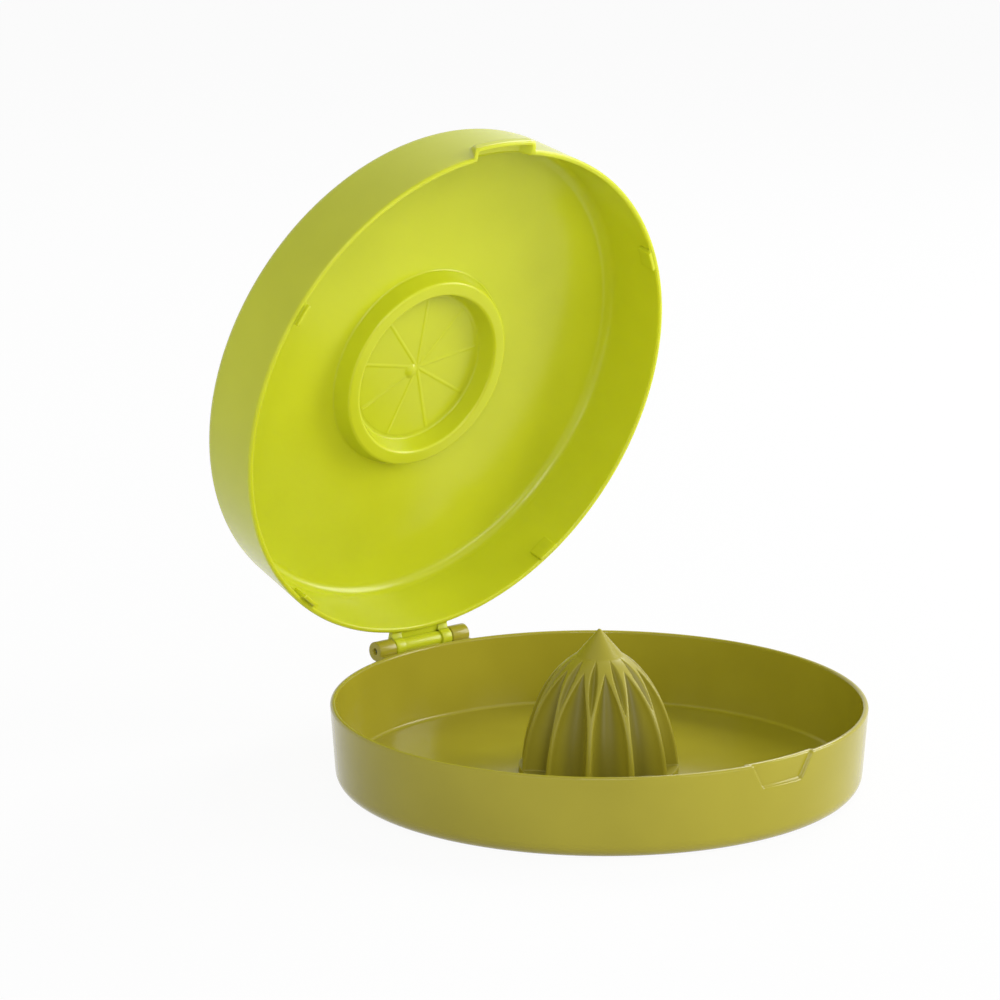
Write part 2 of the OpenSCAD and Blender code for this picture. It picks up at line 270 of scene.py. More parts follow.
class StageSettings(PropertyGroup):
    """Camera, lamps and floor."""

    azimuth: turn("Azimuth", "Camera's angle round the object, from the front", -41.64)
    elevation: turn("Elevation", "Camera's angle above the floor", 15.972)
    roll: turn("Roll", "Camera's turn about its own view", 0.435)
    distance: length("Distance", "Camera to the middle of the tray's rim", 1424.97)
    focal_pixels: number("Focal length", "Focal length in pixels of the photograph", 4503.9)
    aim_x: number("Aim X", "Column of the middle of the tray's rim", 599.035)
    aim_y: number("Aim Y", "Row of the middle of the tray's rim", 699.577)
    floor_reach: length("Floor reach", "Half the side of the floor", 6000)
    floor_white: fraction("Floor white", "Share of plain white that the camera sees on the floor", 0.94)
    fill: number("Fill", "Strength of the even light all round", 0.42)
    high_power: watts("High lamp", "Power of the high softbox to the right", 7)
    right_power: watts("Right lamp", "Power of the softbox to the right", 6)
    camera_power: watts("Camera lamp", "Power of the softbox over the camera", 4)
    left_power: watts("Left lamp", "Power of the low softbox to the left", 0.9)
    front_power: watts("Front lamp", "Power of the low softbox in front", 2.1)


def unit(vector):
    """The vector divided by its length."""
    return vector / np.linalg.norm(vector)


def soft_step(distance, width):
    """0 before the edge and 1 after it: 3 t^2 - 2 t^3 over the width, centred on distance 0."""
    t = np.clip(distance / width + 0.5, 0, 1)
    return t * t * (3 - 2 * t)


def straight(start, end, count):
    """Even points on the line from start to end, without start itself."""
    share = np.arange(1, count + 1)[:, None] / count
    return start + (end - start) * share


def arc(centre, start, end, count):
    """Even points on the shorter arc about centre from start to end, without start itself."""
    first = np.arctan2(start[1] - centre[1], start[0] - centre[0])
    last = np.arctan2(end[1] - centre[1], end[0] - centre[0])
    sweep = (last - first + np.pi) % (2 * np.pi) - np.pi
    angle = first + sweep * np.arange(1, count + 1) / count
    radius = np.linalg.norm(start - centre)
    return centre + radius * np.stack([np.cos(angle), np.sin(angle)], axis=1)


def rounded_line(corners, rounds, runs, arc_points=8):
    """Line through corners, each inner corner replaced by an arc that touches both of its runs.

    With half the angle between the runs called h, the arc of radius r starts r / tan h from the
    corner on each run, and its centre lies r / sin h away on their bisector. runs gives the
    number of steps on each straight run.
    """
    corners = np.array(corners, float)
    parts = [corners[:1]]
    here = corners[0]
    for i, radius in enumerate(rounds, start=1):
        back = unit(corners[i - 1] - corners[i])
        ahead = unit(corners[i + 1] - corners[i])
        half = np.arccos(np.clip(back @ ahead, -1, 1)) / 2
        start = corners[i] + back * radius / np.tan(half)
        end = corners[i] + ahead * radius / np.tan(half)
        centre = corners[i] + unit(back + ahead) * radius / np.sin(half)
        parts.append(straight(here, start, runs[i - 1]))
        parts.append(arc(centre, start, end, arc_points))
        here = end
    parts.append(straight(here, corners[-1], runs[-1]))
    return np.concatenate(parts)


def rounded_loop(corners, radius, arc_points=5):
    """Closed outline with the same touching arc at every corner."""
    corners = np.array(corners, float)
    middle = (corners[0] + corners[-1]) / 2
    line = [middle, *corners, middle]
    rounds = [radius] * len(corners)
    runs = [2] * (len(corners) + 1)
    return rounded_line(line, rounds, runs, arc_points)[:-1]


def drawn_in(outline, depth):
    """Closed outline moved inwards by depth along its normals, for a rounded end of a bar."""
    along = np.roll(outline, -1, axis=0) - np.roll(outline, 1, axis=0)
    along /= np.linalg.norm(along, axis=1, keepdims=True)
    normal = np.stack([along[:, 1], -along[:, 0]], axis=1)
    after = np.roll(outline, -1, axis=0)
    area = np.sum(outline[:, 0] * after[:, 1] - after[:, 0] * outline[:, 1])
    return outline - np.sign(area) * depth * normal


def turned(profile, angles):
    """Grid of a profile of (radius, height) carried round Z: (r cos a, r sin a, h)."""
    radius = profile[:, :1]
    height = profile[:, 1:] + 0 * angles
    return np.stack([radius * np.cos(angles), radius * np.sin(angles), height], axis=-1)


def front_angles(coarse=250, fine=130, reach=math.radians(11.5)):
    """Angles once round Z, fine within reach of the front at -90 degrees and coarse elsewhere."""
    near = np.linspace(FRONT - reach, FRONT + reach, fine, endpoint=False)
    far = np.linspace(FRONT + reach, FRONT - reach + 2 * np.pi, coarse, endpoint=False)
    return np.concatenate([near, far])


def facing_out(points, faces):
    """The faces, all turned round where the sum of their corner volumes is negative."""
    corners = points[faces]
    volume = 0
    for i in range(1, faces.shape[1] - 1):
        volume += np.sum(corners[:, 0] * np.cross(corners[:, i], corners[:, i + 1]))
    return faces if volume > 0 else faces[:, ::-1]


def skin(grid, wrapped_rows=False):
    """Points and quads of a grid whose columns close on themselves, and its rows too if wrapped."""
    rows, columns = grid.shape[:2]
    here = np.arange(rows * columns).reshape(rows, columns)
    above = np.roll(here, -1, axis=0)
    if not wrapped_rows:
        here = here[:-1]
        above = above[:-1]
    quads = [here, np.roll(here, -1, axis=1), np.roll(above, -1, axis=1), above]
    return grid.reshape(-1, 3), np.stack(quads, axis=-1).reshape(-1, 4)


def capped(grid, first, last):
    """Closed solid of a grid with a pole at each end, joined to the end rows by triangles.

    A triangle is kept as a quad that names its pole twice, so that every face has four corners.
    """
    points, quads = skin(grid)
    columns = grid.shape[1]
    pole = np.full(columns, len(points))
    low = np.arange(columns)
    high = low + len(points) - columns
    low_fan = np.stack([np.roll(low, -1), low, pole, pole], axis=-1)
    high_fan = np.stack([high, np.roll(high, -1), pole + 1, pole + 1], axis=-1)
    points = np.concatenate([points, [first, last]])
    return points, facing_out(points, np.concatenate([quads, low_fan, high_fan]))


def between_poles(grid):
    """Closed solid of a turned grid whose first and last rows have shrunk to points on the axis."""
    return capped(grid[1:-1], grid[0, 0], grid[-1, 0])


def bar(outline, start, end, rounding, place, steps=1, arc_points=4):
    """Closed bar: an outline carried from start to end, drawn in at both ends by a quarter circle.

    At an angle q of the rounding's quarter turn, the outline has moved r (1 - cos q) along the bar
    and is drawn in by r (1 - sin q). The rounding is smaller than the outline's own corners, which
    would otherwise turn inside out. place puts an outline at a station into space.
    """
    quarter = np.linspace(0, np.pi / 2, arc_points + 1)
    depth = rounding * (1 - np.sin(quarter))
    forward = start + rounding * (1 - np.cos(quarter))
    backward = (end - rounding * (1 - np.cos(quarter)))[::-1]
    middle = np.linspace(forward[-1], backward[0], steps + 1)[1:-1]
    stations = np.concatenate([forward, middle, backward])
    depths = np.concatenate([depth, np.zeros(len(middle)), depth[::-1]])
    rows = [place(drawn_in(outline, d), s) for d, s in zip(depths, stations)]
    grid = np.stack(rows)
    return capped(grid, grid[0].mean(axis=0), grid[-1].mean(axis=0))


def sleeve(start, end, bore, radius, rounding, axis_z):
    """Closed ring on the hinge axis: a rounded section of (x, radius) carried round a line along X."""
    section = rounded_loop([(start, bore), (end, bore), (end, radius), (start, radius)], rounding)
    angles = np.linspace(0, 2 * np.pi, 64, endpoint=False)
    along = section[:, :1] + 0 * angles
    y = AXIS_Y + section[:, 1:] * np.cos(angles)
    z = axis_z + section[:, 1:] * np.sin(angles)
    points, quads = skin(np.stack([along, y, z], axis=-1), wrapped_rows=True)
    return points, facing_out(points, quads)


def upright(outline, x):
    """Outline of (y, z) standing across the hinge at x."""
    return np.column_stack([np.full(len(outline), x), outline])


def against_wall(radius, inside):
    """Placing of an outline of (y, z) across the hinge, which follows the tray's round wall.

    At x the wall lies r - sqrt(r^2 - x^2) further in than at the middle. A point moves in by that
    much at the inside and by none of it at the hinge axis.
    """

    def place(outline, x):
        y, z = outline.T
        follow = np.clip((AXIS_Y - y) / (AXIS_Y - inside), 0, 1)
        bend = radius - math.sqrt(radius ** 2 - x ** 2)
        return np.column_stack([np.full(len(y), x), y - follow * bend, z])

    return place


def on_open_lid(solid, shells):
    """A solid of the dish frame turned over and swung open about the hinge axis.

    Turned over, a point stands at half the rim gap plus the lid's depth less its own height above
    the axis. The opening angle a then takes (y, z) to (y cos a + z sin a, z cos a - y sin a).
    """
    points, faces = solid
    along = points[:, 1] - AXIS_Y
    above = shells.rim_gap / 2 + shells.lid_depth - points[:, 2]
    y = AXIS_Y + along * math.cos(LID_OPEN) + above * math.sin(LID_OPEN)
    z = AXIS_Z - along * math.sin(LID_OPEN) + above * math.cos(LID_OPEN)
    placed = np.column_stack([points[:, 0], y, z])
    return placed, facing_out(placed, faces)


def new_object(name, data):
    """A new object of the scene, at the origin."""
    thing = bpy.data.objects.new(name, data)
    bpy.context.scene.collection.objects.link(thing)
    return thing


def add_piece(name, solids, material, body, replaced=(), cavity=None):
    """One smooth mesh object of closed solids, which rides on a body of the frame.

    cavity gives, from 0 to 1, how much painted shade each point takes, for the material to read.
    """
    starts = np.cumsum([0] + [len(points) for points, _ in solids])
    points = np.concatenate([points for points, _ in solids])
    faces = np.concatenate([quads + start for (_, quads), start in zip(solids, starts)])
    fans = faces[:, 2] == faces[:, 3]
    turned_fans = faces[:, 0] == faces[:, 1]
    plain = ~(fans | turned_fans)
    polygons = faces[plain].tolist() + faces[fans][:, :3].tolist() + faces[turned_fans][:, 1:].tolist()
    mesh = bpy.data.meshes.new(name)
    mesh.from_pydata(points.tolist(), [], polygons)
    mesh.polygons.foreach_set("use_smooth", np.ones(len(mesh.polygons), bool))
    mesh.materials.append(material)
    mesh.validate()
    mesh.update()
    if cavity is not None:
        mesh.attributes.new("cavity", "FLOAT", "POINT").data.foreach_set("value", cavity)
    piece = new_object(name, mesh)
    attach(piece, body)
    if replaced:
        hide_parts(*replaced)


def shell_grid(shells, height, foot, corner, steps, ring=(), ring_rounds=(), arc_points=8):
    """Grid of a turned shell, and the share of the wall's thickness at which each row lies.

    The section runs from the middle of the outer face round its foot, up the wall, over the rim and
    down to the floor, then over a ring on the floor to the middle, in the given steps on each run.
    The share is 0 outside the wall and 1 inside it.
    """
    rim = shells.rim_radius
    slope = shells.lean / height
    corners = [
        (rim - shells.lean, 0),
        (rim, height),
        (rim - shells.wall, height),
        (rim - shells.wall - (height - shells.floor) * slope, shells.floor),
    ]
    line = [(0, 0), *corners, *ring, (0, shells.floor)]
    rounds = [foot, shells.rim_round, shells.rim_round, corner, *ring_rounds]
    profile = rounded_line(line, rounds, steps, arc_points)
    outside = rim - (height - profile[:, 1:]) * slope
    across = np.clip((outside - profile[:, :1]) / shells.wall, 0, 1)
    return turned(profile, front_angles()), across


def front_window(grid, width, far_width, rim_z, far_z, edge):
    """Mask of a tapered window in the front wall, from its far edge up to the rim.

    Half its width runs in a straight line from far_width / 2 at far_z to width / 2 at rim_z, and
    the mask is the product of the soft steps over its sides and its far edge.
    """
    x, y, z = np.moveaxis(grid, -1, 0)
    half = (far_width + (width - far_width) * (z - far_z) / (rim_z - far_z)) / 2
    return soft_step(half - np.abs(x), edge) * soft_step(z - far_z, edge) * (y < 0)


def moved_out(grid, distance, least):
    """The grid with its points moved out from Z by a distance, and by less inside the least radius."""
    radius = np.maximum(np.hypot(grid[..., 0], grid[..., 1]), least)
    share = 1 + distance / radius
    return np.concatenate([grid[..., :2] * share[..., None], grid[..., 2:]], axis=-1)


def tray_shell(shells, lip):
    """Tray without its knuckles: a turned shell whose front wall steps in at the finger recess.

    At the recess a point's radius is less by the recess's depth times the window's mask, and the
    window grows by the wall's thickness on the inside.
    """
    height = shells.tray_height
    steps = [5, 56, 1, 56, 10]
    grid, across = shell_grid(shells, height, shells.foot_round, shells.tray_corner, steps, arc_points=9)
    grown = 2 * shells.wall * across
    far_z = height - lip.recess_height - shells.wall * across
    mask = front_window(grid, lip.width + grown, lip.far_width + grown, height, far_z, lip.edge)
    return between_poles(moved_out(grid, -lip.recess_depth * mask, shells.wall))


def lid_shell(shells, lip, ring):
    """Lid in the dish frame, without hinge and tabs: a turned shell with ring and finger lip.

    The lip moves the outside of the wall out in a slope up to its upright face, and moves the inside
    out by the same less the lip's own wall, down to the pocket's floor.
    """
    height = shells.lid_depth
    middle = (ring.foot_in + ring.foot_out) / 2
    top_z = shells.floor + ring.height
    crest = [
        (ring.foot_out, shells.floor),
        (middle + ring.top / 2, top_z),
        (middle - ring.top / 2, top_z),
        (ring.foot_in, shells.floor),
    ]
    rounds = [ring.foot_fillet, ring.top_round, ring.top_round, ring.foot_fillet]
    steps = [5, 60, 1, 60, 8, 6, 2, 6, 6]
    grid, across = shell_grid(shells, height, shells.face_round, shells.lid_corner, steps, crest, rounds)
    drop = height - grid[..., 2]
    slope = np.clip((lip.height - drop) / (lip.height - lip.face), 0, 1)
    reach = lip.out + drop * shells.lean / height
    window = front_window(grid, lip.width, lip.far_width, height, height - lip.height, lip.edge)
    outside = slope * reach * window
    pocket_width = lip.width - 2 * lip.wall
    pocket_far = pocket_width - (lip.width - lip.far_width) * lip.pocket / lip.height
    pocket = front_window(grid, pocket_width, pocket_far, height, height - lip.pocket, lip.edge)
    inside = (reach - lip.wall + shells.wall) * pocket
    return between_poles(moved_out(grid, (1 - across) * outside + across * inside, shells.wall))


def citrus_slice(shells, ring):
    """Lens inside the ring with the lines and the pip of a citrus slice on its upper side.

    The nearest line is found by folding the angle into half the spacing of the lines. A line's
    height is masked by soft steps over its two sides and its end. The pip is a paraboloid a little
    off the middle, and the lens's border dips under the lid's floor.
    """
    columns = 720
    rows = 72
    lift = 0.02 * MM
    border = 0.4 * MM
    angles = np.linspace(0, 2 * np.pi, columns, endpoint=False)
    reach = ring.foot_in - 1.2 * ring.foot_fillet
    under = [(0, shells.floor / 2), (reach, shells.floor / 2), (reach, shells.floor - border / 4)]
    upper = np.linspace(reach - border, 0, rows)
    over = np.column_stack([upper, np.full(len(upper), shells.floor + lift)])
    grid = turned(np.concatenate([under, over]), angles)
    spacing = 2 * np.pi / ring.line_count
    fold = np.abs((angles - FRONT + spacing / 2) % spacing - spacing / 2)
    radius = upper[:, None]
    aside = np.abs(radius * np.sin(fold))
    along = radius * np.cos(fold)
    edge = ring.line_width * 0.8
    line = soft_step(ring.line_width / 2 - aside, edge)
    line *= soft_step(ring.foot_in - ring.line_margin - along, edge)
    top = grid[len(under):]
    from_pip = np.hypot(top[..., 0] - ring.pip_x, top[..., 1] - ring.pip_y)
    pip = np.clip(1 - (from_pip / ring.pip_radius) ** 2, 0, 1) * ring.pip_height
    top[..., 2] += np.maximum(line * ring.line_height, pip)
    return between_poles(grid)


def tray_knuckle(side, shells, hinge):
    """One knuckle of the tray: a bored sleeve on the pin and the gusset that carries it."""
    inner = hinge.width / 2 - hinge.knuckle_width
    outer = hinge.width / 2
    radius = hinge.knuckle_radius
    edge = hinge.edge_round
    top_z = shells.tray_height - shells.wall / 2
    foot_z = AXIS_Z - hinge.gusset
    lean = (shells.tray_height - foot_z) * shells.lean / shells.tray_height
    inside = shells.rim_radius - shells.wall * 0.6
    upper = [(inside, top_z), (AXIS_Y, top_z), (AXIS_Y, AXIS_Z - radius * 0.9)]
    lower = [(shells.rim_radius - lean, foot_z), (inside - lean, foot_z)]
    gusset = rounded_loop(upper + lower, edge)
    hair = edge / 8
    start, end = sorted((side * (inner + hair), side * (outer - hair)))
    place = against_wall(shells.rim_radius, inside)
    return [
        sleeve(side * inner, side * outer, PIN_RADIUS, radius, edge, AXIS_Z),
        bar(gusset, start, end, edge / 2, place, steps=4),
    ]


def lid_hinge(shells, hinge):
    """Hinge of the lid in the dish frame: two bored cheeks, the bar between them and the web."""
    outer = hinge.width / 2 - hinge.knuckle_width - hinge.side_gap
    inner = outer - hinge.cheek_width
    rod_end = inner + hinge.cheek_width / 2
    radius = hinge.knuckle_radius
    edge = hinge.edge_round
    bore = PIN_RADIUS + hinge.bore_play
    depth = shells.lid_depth
    axis = depth + shells.rim_gap / 2
    rim_z = depth - shells.wall / 2
    under = axis - radius + hinge.web / 4
    over = under + hinge.web
    inside = shells.rim_radius - shells.wall * 0.8
    foot = inside - (depth - under) * shells.lean / depth
    upper = [(inside, rim_z), (shells.rim_radius, rim_z), (AXIS_Y, axis + radius / 2)]
    lower = [(AXIS_Y, under), (foot, under)]
    cheek = rounded_loop(upper + lower, edge)
    web = rounded_loop([(inside, over), (AXIS_Y, over)] + lower, edge / 2)
    return [
        sleeve(inner, outer, bore, radius, edge, axis),
        sleeve(-inner, -outer, bore, radius, edge, axis),
        sleeve(-rod_end, rod_end, bore, hinge.bar_radius, edge, axis),
        bar(cheek, inner, outer, edge / 2, upright),
        bar(cheek, -outer, -inner, edge / 2, upright),
        bar(web, -rod_end, rod_end, edge / 4, upright, steps=8),
    ]


def locating_tab(angle, shells, tabs):
    """One tab in the dish frame: an upright outline of (radius, height) carried along an arc."""
    rim_z = shells.lid_depth
    face = shells.rim_radius - shells.wall - tabs.out * shells.lean / shells.tray_height - tabs.gap
    front = face - tabs.thickness
    behind = shells.rim_radius - shells.wall / 2 - tabs.root * shells.lean / rim_z
    corners = [
        (front, rim_z - tabs.root),
        (behind, rim_z - tabs.root),
        (behind, rim_z - tabs.edge_round),
        (face, rim_z - tabs.edge_round),
        (face, rim_z + tabs.out),
        (front, rim_z + tabs.out),
    ]
    outline = rounded_loop(corners, tabs.edge_round)

    def round_the_rim(points, station):
        reach, height = points.T
        turned_by = angle + station / face
        return np.column_stack([reach * np.cos(turned_by), reach * np.sin(turned_by), height])

    return bar(outline, -tabs.width / 2, tabs.width / 2, tabs.edge_round * 0.8, round_the_rim, steps=6)


def reamer_rows(shells, reamer):
    """Radius, height and cut of each row of the reamer's grid.

    The radius is R sqrt(1 - (z / h)^p) up to the foot of the point, and from there that of a cone
    with a round tip. The cut, by which a flute's depth is multiplied, is 0 on the collar, grows to 1
    over the flat ledge above it and falls to 0 where the flutes run out.
    """
    foot = (REAMER_HIGH.x - REAMER_LOW.x) / 2
    tip = REAMER_HIGH.z - REAMER_LOW.z
    crown = tip - reamer.point_rise
    point_z = crown * (1 - (reamer.point_radius / foot) ** 2) ** (1 / reamer.dome_power)
    collar_rows = np.linspace(0, reamer.collar, 6)
    ledge_rows = np.full(8, reamer.collar)
    flute_rows = np.linspace(reamer.collar, reamer.flute_top + RUN_OUT, 86)[1:]
    crown_rows = np.linspace(flute_rows[-1], point_z, 6)[1:]
    dome_z = np.concatenate([collar_rows, ledge_rows, flute_rows, crown_rows])
    dome_r = foot * np.sqrt(1 - (dome_z / crown) ** reamer.dome_power)
    lean = math.atan2(tip - point_z, reamer.point_radius)
    tip_middle = np.array([0, tip - reamer.tip_round])
    tip_start = tip_middle + reamer.tip_round * np.array([math.sin(lean), math.cos(lean)])
    cone = straight(np.array([reamer.point_radius, point_z]), tip_start, 18)
    ball = arc(tip_middle, tip_start, np.array([0, tip]), 6)[:-1]
    radius = np.concatenate([[foot], dome_r, cone[:, 0], ball[:, 0]])
    height = np.concatenate([[-shells.floor / 4], dome_z, cone[:, 1], ball[:, 1]])
    cut = np.ones(len(radius))
    ledge = 1 + len(collar_rows)
    cut[:ledge] = 0
    cut[ledge:ledge + len(ledge_rows)] = np.linspace(0, 1, len(ledge_rows))
    cut *= 1 - soft_step(height - reamer.flute_top, RUN_OUT)
    return radius[:, None], height[:, None], cut[:, None]


def flute_columns(reamer, share):
    """Angles of the reamer's columns, from the middles of their flutes and from X.

    In a flute the columns lie at sines of even angles up to its steepness, so that they crowd at its
    edges. From an edge to the rib's crest they are spaced by the mean of a power and a sine.
    """
    half = FLUTE_COLUMNS + RIB_COLUMNS
    step = np.arange(-half, half)
    steep = reamer.flute_steep
    in_flute = np.sin(steep * np.clip(np.abs(step) / FLUTE_COLUMNS, 0, 1)) / math.sin(steep)
    to_crest = np.clip((half - np.abs(step)) / RIB_COLUMNS, 0, 1)
    in_rib = 1 - (to_crest ** 1.5 + np.sin(to_crest * np.pi / 2)) / 2
    wide = np.maximum(share, LEAST_SHARE)
    spacing = 2 * np.pi / reamer.flute_count
    one = np.sign(step) * (wide * in_flute + (1 - wide) * in_rib) * spacing / 2
    aside = np.tile(one, (1, reamer.flute_count))
    middles = np.arange(reamer.flute_count) * spacing + FRONT
    return aside, np.repeat(middles, len(step)) + aside


def rib_forks(reamer, height, aside):
    """Depth of the grooves that fork the ribs, at a distance aside from a rib's middle.

    A groove has the section 1 - (s / w)^2, where w and the depth are parabolas over the height.
    """
    above = height - reamer.fork_middle
    upper_run = reamer.fork_high - reamer.fork_middle
    lower_run = reamer.fork_middle - reamer.fork_low
    share = np.clip(1 - (above / np.where(above > 0, upper_run, lower_run)) ** 2, 0, 1)
    half = np.maximum(reamer.fork_width * share, LEAST)
    return reamer.fork_depth * share * np.clip(1 - (aside / half) ** 2, 0, 1)


def reamer_cone(shells, reamer):
    """Reamer as a radius over height and angle, with a mask of painted shade for its flutes and the
    grooves of its forks.

    A flute's half chord c is a share of half the rib spacing, and the share falls as 1 - u^n from
    the flute's foot to its top. Its section is the arc of radius R = c / sin(steepness): at a
    sideways distance s it goes sqrt(R^2 - s^2) - R cos(steepness) deep. Each edge of a rib is a
    quarter circle, so that a narrow rib has a round crest.
    """
    radius, height, cut = reamer_rows(shells, reamer)
    steep = reamer.flute_steep
    half_spacing = radius * np.pi / reamer.flute_count
    u = np.clip((height - reamer.flute_wide) / (reamer.flute_top - reamer.flute_wide), 0, 1)
    share = reamer.flute_share * (1 - u ** FLUTE_TAPER)
    aside, angles = flute_columns(reamer, share)
    chord = share * half_spacing
    sideways = np.abs(radius * aside)
    flute_round = chord / math.sin(steep)
    squared = np.clip(flute_round ** 2 - sideways ** 2, 0, None)
    deep = np.clip(np.sqrt(squared) - flute_round * math.cos(steep), 0, None)
    rib_half = half_spacing - chord
    rib_side = half_spacing - sideways
    bead = np.minimum(rib_half, reamer.rib_round)
    over_edge = np.clip(1 - (rib_half - rib_side) / bead, 0, 1)
    fade = np.sqrt(share / reamer.flute_share)
    deep += fade * bead * (1 - np.sqrt(1 - over_edge ** 2))
    fork = rib_forks(reamer, height, rib_side)
    grooved = radius - cut * deep - fork
    level = height + REAMER_LOW.z + 0 * grooved
    grid = np.stack([grooved * np.cos(angles), grooved * np.sin(angles), level], axis=-1)
    # Painted shade for the shade that the flutes' depth throws: it sets in between a flute's edge and
    # 0.6 of the way to its middle, and a fork's groove takes up to 0.8 of it
    from_edge = 1 - sideways / np.maximum(chord, LEAST)
    in_painted_shade = np.maximum(soft_step(from_edge - 0.3, 0.6) * cut, 0.8 * fork / reamer.fork_depth)
    solid = capped(grid, (0, 0, level[0, 0]), (0, 0, REAMER_HIGH.z))
    return solid, np.append(in_painted_shade, [0, 0])


def set_inputs(node, values):
    """The node, with each input in values linked to a socket or set to a plain value."""
    for name, value in values.items():
        if isinstance(value, bpy.types.NodeSocket):
            node.id_data.links.new(value, node.inputs[name])
        else:
            node.inputs[name].default_value = value
    return node


def new_node(nodes, kind, values, **settings):
    """A new node with its own settings and its inputs."""
    node = nodes.new(kind)
    for name, value in settings.items():
        setattr(node, name, value)
    return set_inputs(node, values)


def calculate(nodes, operation, *values):
    """Result of a Math node."""
    return new_node(nodes, "ShaderNodeMath", dict(enumerate(values)), operation=operation).outputs[0]


def blended(nodes, factor, first, second):
    """Colour from the first to the second by a factor, on the Mix node's colour sockets."""
    values = {"Factor": factor, 6: first, 7: second}
    return new_node(nodes, "ShaderNodeMix", values, data_type="RGBA").outputs[2]


def noise(nodes, place, scale, detail):
    """Value of a Noise node over coordinates."""
    values = {"Vector": place, "Scale": scale, "Detail": detail}
    return new_node(nodes, "ShaderNodeTexNoise", values).outputs["Fac"]


def moulding_group():
    """Surface of the moulded plastics: slow drift of colour, fine haze and a faint orange peel."""
    name = "moulded_surface"
    if name in bpy.data.node_groups:
        return bpy.data.node_groups[name]
    group = bpy.data.node_groups.new(name, "ShaderNodeTree")
    inputs = {"Colour": "Color", "Deep Colour": "Color", "Roughness": "Float", "Haze": "Float"}
    outputs = {"Colour": "Color", "Roughness": "Float", "Height": "Float"}
    for in_out, sockets in (("INPUT", inputs), ("OUTPUT", outputs)):
        for label, kind in sockets.items():
            group.interface.new_socket(label, in_out=in_out, socket_type="NodeSocket" + kind)
    nodes = group.nodes
    given = nodes.new("NodeGroupInput").outputs
    place = nodes.new("ShaderNodeTexCoord").outputs["Object"]
    slow = noise(nodes, place, scale=26, detail=2)
    fine = noise(nodes, place, scale=240, detail=3)
    peel = noise(nodes, place, scale=170, detail=1)
    grain = noise(nodes, place, scale=1300, detail=1)
    grain_share = 0.35
    drift = new_node(nodes, "ShaderNodeMapRange", {"Value": slow, "From Min": 0.35, "From Max": 0.65})
    haze = calculate(nodes, "SUBTRACT", fine, 0.5)
    results = {
        "Colour": blended(nodes, drift.outputs["Result"], given["Colour"], given["Deep Colour"]),
        "Roughness": calculate(nodes, "MULTIPLY_ADD", haze, given["Haze"], given["Roughness"]),
        "Height": calculate(nodes, "MULTIPLY_ADD", grain, grain_share, peel),
    }
    new_node(nodes, "NodeGroupOutput", results)
    return group


def plastic(key, colours):
    """Glossy moulded plastic: the shared surface under a plain shader that lets in a little light.

    Where the colours have a painted shade for its grooves, its own colour goes over to that by the
    painted shade mask attribute.
    """
    name, roughness, haze, glow = PLASTICS[key]
    if name in bpy.data.materials:
        return bpy.data.materials[name]
    material = bpy.data.materials.new(name)
    material.use_nodes = True
    nodes = material.node_tree.nodes
    surface = nodes.new("ShaderNodeGroup")
    surface.node_tree = moulding_group()
    tones = {"Colour": (*getattr(colours, key), 1), "Deep Colour": (*getattr(colours, key + "_deep"), 1)}
    set_inputs(surface, {**tones, "Roughness": roughness, "Haze": haze})
    made = surface.outputs
    shade = made["Colour"]
    # Painted shade: the reamer has a darker colour for its flutes, mixed in by the painted shade mask
    groove = getattr(colours, key + "_painted_shade", None)
    if groove is not None:
        cavity = new_node(nodes, "ShaderNodeAttribute", {}, attribute_name="cavity")
        shade = blended(nodes, cavity.outputs["Fac"], shade, (*groove, 1))
    relief = {"Height": made["Height"], "Strength": 0.08, "Distance": 0.05 * MM}
    values = {
        "Base Color": shade,
        "Roughness": made["Roughness"],
        "Normal": new_node(nodes, "ShaderNodeBump", relief).outputs["Normal"],
        "IOR": 1.49,
        "Specular IOR Level": 0.32,
        "Subsurface Weight": glow,
        "Subsurface Radius": (1, 0.9, 0.25),
        "Subsurface Scale": 3 * MM,
    }
    set_inputs(nodes["Principled BSDF"], values)
    return material


def drawn_steel(colours):
    """Steel wire with fine lines along its length, from noise stretched along X."""
    material = bpy.data.materials.new("drawn_steel")
    material.use_nodes = True
    nodes = material.node_tree.nodes
    place = nodes.new("ShaderNodeTexCoord").outputs["Object"]
    stretch = new_node(nodes, "ShaderNodeMapping", {"Vector": place, "Scale": (60, 3000, 3000)})
    lines = noise(nodes, stretch.outputs["Vector"], scale=1, detail=3)
    rough = new_node(nodes, "ShaderNodeMapRange", {"Value": lines, "To Min": 0.25, "To Max": 0.5})
    relief = {"Height": lines, "Strength": 0.3, "Distance": 0.02 * MM}
    values = {
        "Base Color": blended(nodes, lines, (*colours.steel_dark, 1), (*colours.steel, 1)),
        "Roughness": rough.outputs["Result"],
        "Normal": new_node(nodes, "ShaderNodeBump", relief).outputs["Normal"],
        "Metallic": 1,
    }
    set_inputs(nodes["Principled BSDF"], values)
    return material


def background_rays(nodes):
    """1 for the rays that show the background as such: camera, glossy or transmission rays."""
    path = nodes.new("ShaderNodeLightPath").outputs
    shown = calculate(nodes, "MAXIMUM", path["Is Camera Ray"], path["Is Glossy Ray"])
    return calculate(nodes, "MAXIMUM", shown, path["Is Transmission Ray"])


def pale_floor(stage):
    """Pale floor that shows part plain white and part its own lit surface with the shadow."""
    material = bpy.data.materials.new("pale_floor")
    material.use_nodes = True
    nodes = material.node_tree.nodes
    nodes.clear()
    matt = new_node(nodes, "ShaderNodeBsdfDiffuse", {"Color": (0.86, 0.86, 0.86, 1)})
    white = new_node(nodes, "ShaderNodeEmission", {"Strength": 1})
    share = calculate(nodes, "MULTIPLY", background_rays(nodes), stage.floor_white)
    values = {"Fac": share, 1: matt.outputs["BSDF"], 2: white.outputs["Emission"]}
    both = new_node(nodes, "ShaderNodeMixShader", values)
    new_node(nodes, "ShaderNodeOutputMaterial", {"Surface": both.outputs["Shader"]})
    return material


